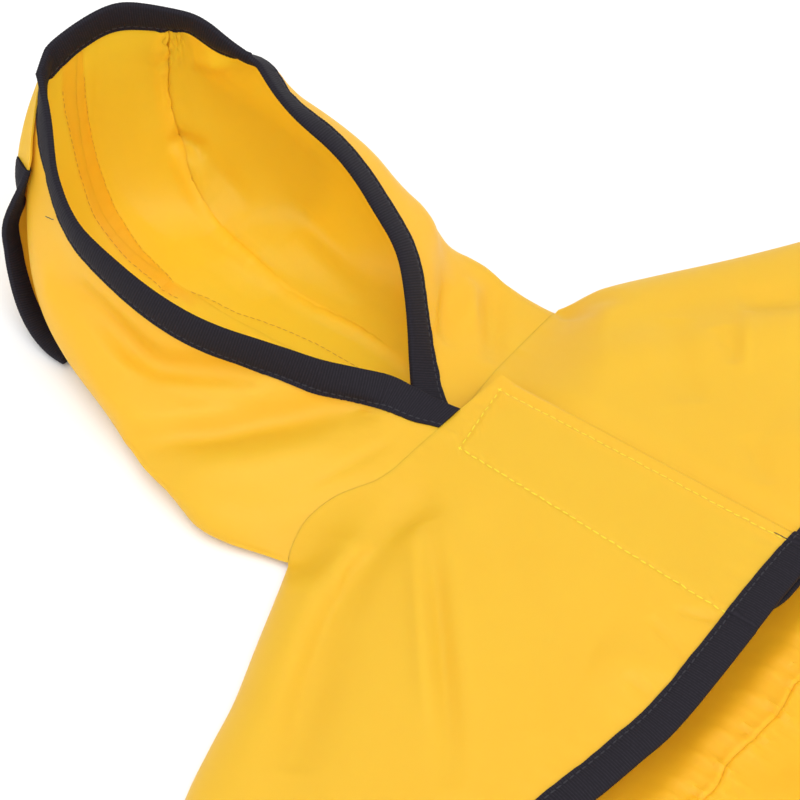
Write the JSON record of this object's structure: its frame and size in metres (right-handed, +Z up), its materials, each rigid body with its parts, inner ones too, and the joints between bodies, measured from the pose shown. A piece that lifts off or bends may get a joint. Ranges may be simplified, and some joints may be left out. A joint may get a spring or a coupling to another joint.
{
  "type": "dog raincoat",
  "caption": "Hooded raincoat for a dog, laid chest up: open hood with a bound rim and turned brim, flat wrap chest with a sewn-down closure, bound hem and a long back.",
  "frame": {"origin": "middle of the bounding box on the surface the coat lies on", "axes": "+X from the hood towards the tail hem, +Y towards the dog's left side, +Z up, out of the chest"},
  "size_m": [0.5912, 0.4336, 0.1173],
  "materials": {
    "yellow_cloth": "smooth coated rainwear cloth, golden yellow, soft low sheen",
    "navy_tape": "ribbed grosgrain tape, dark navy, matt",
    "closure_tape": "yellow hook-and-loop tape, matt"
  },
  "bodies": {
    "root": {"hood_side_right": "yellow_cloth", "hood_centre": "yellow_cloth", "hood_side_left": "yellow_cloth", "hood_binding": "navy_tape", "brim": "yellow_cloth", "brim_binding": "navy_tape", "front_right": "yellow_cloth", "front_left": "yellow_cloth", "hem_binding_right": "navy_tape", "hem_binding_left": "navy_tape", "hook_strip": "closure_tape", "loop_strip": "closure_tape", "back_upper": "yellow_cloth", "back_lower": "yellow_cloth", "back_binding": "navy_tape"}
  },
  "joints": []
}
